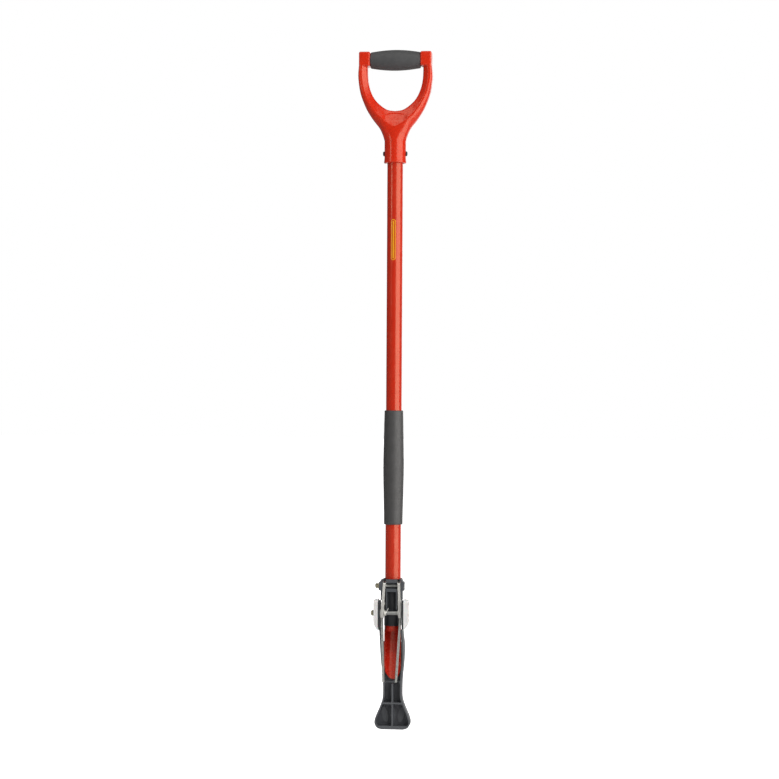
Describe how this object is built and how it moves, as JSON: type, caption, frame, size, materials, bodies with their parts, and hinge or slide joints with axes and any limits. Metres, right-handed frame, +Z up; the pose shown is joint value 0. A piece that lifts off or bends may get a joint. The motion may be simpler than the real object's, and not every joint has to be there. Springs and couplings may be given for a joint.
{
  "type": "stand-up weed puller",
  "caption": "Long-handled weed puller with a D-handle, a foam mid-grip, a gouge blade, hinged pincer prongs and a foot lever that folds along the gouge.",
  "frame": {"origin": "on the shaft's axis, at the foot lever's flat end face with the lever folded down", "axes": "+Z up along the shaft towards the D-handle, +X along the hand bar, +Y away from the prongs, towards the side the lever folds out to"},
  "size_m": [0.1194, 0.065, 1.0865],
  "materials": {
    "shaft_paint": "gloss red enamel",
    "handle_plastic": "moulded red nylon, glossy",
    "grip_rubber": "matt soft-touch charcoal",
    "grip_foam": "closed-cell foam, matt charcoal",
    "head_casting": "black powder coat, semi-gloss",
    "black_plastic": "black moulded plastic",
    "gouge_enamel": "gloss red enamel with a worn edge",
    "zinc_yellow": "yellow zinc plating",
    "bright_steel": "bright zinc plated sheet",
    "prong_steel": "ground spring steel",
    "lever_nylon": "glass-filled nylon, satin charcoal",
    "white_plastic": "white acetal, satin"
  },
  "bodies": {
    "frame": {"shaft_tube": "shaft_paint", "handle_body": "handle_plastic", "hand_sleeve": "grip_rubber", "handle_rivet": "black_plastic", "mid_grip": "grip_foam", "head_body": "head_casting", "head_liner": "black_plastic", "head_rivet": "zinc_yellow", "neck_pin": "zinc_yellow", "gouge_blade": "gouge_enamel", "claw_bolt": "bright_steel", "claw_nut": "zinc_yellow", "claw_washer": "zinc_yellow"},
    "claw": {"strap_left": "bright_steel", "strap_right": "bright_steel", "prong_left": "prong_steel", "prong_right": "prong_steel", "clamp_rivets": "bright_steel", "axle_bolt": "bright_steel", "axle_nut": "zinc_yellow", "axle_clips": "bright_steel", "return_spring": "bright_steel"},
    "pedal": {"foot_lever": "lever_nylon", "lever_bush_left": "white_plastic", "lever_bush_right": "white_plastic", "cheek_left": "white_plastic", "cheek_right": "white_plastic", "cheek_screws": "zinc_yellow"}
  },
  "joints": [
    {"name": "claw_pivot", "type": "hinge", "parent": "frame", "child": "claw", "pos_m": [0, -0.0165, 0.231], "axis": [1, 0, 0], "range_deg": [0, 9], "stiffness_Nm_per_rad": 0.6, "springref_deg": -17.19},
    {"name": "lever_axle", "type": "hinge", "parent": "claw", "child": "pedal", "pos_m": [0, -0.024, 0.1883], "axis": [1, 0, 0], "range_deg": [0, 100]}
  ]
}
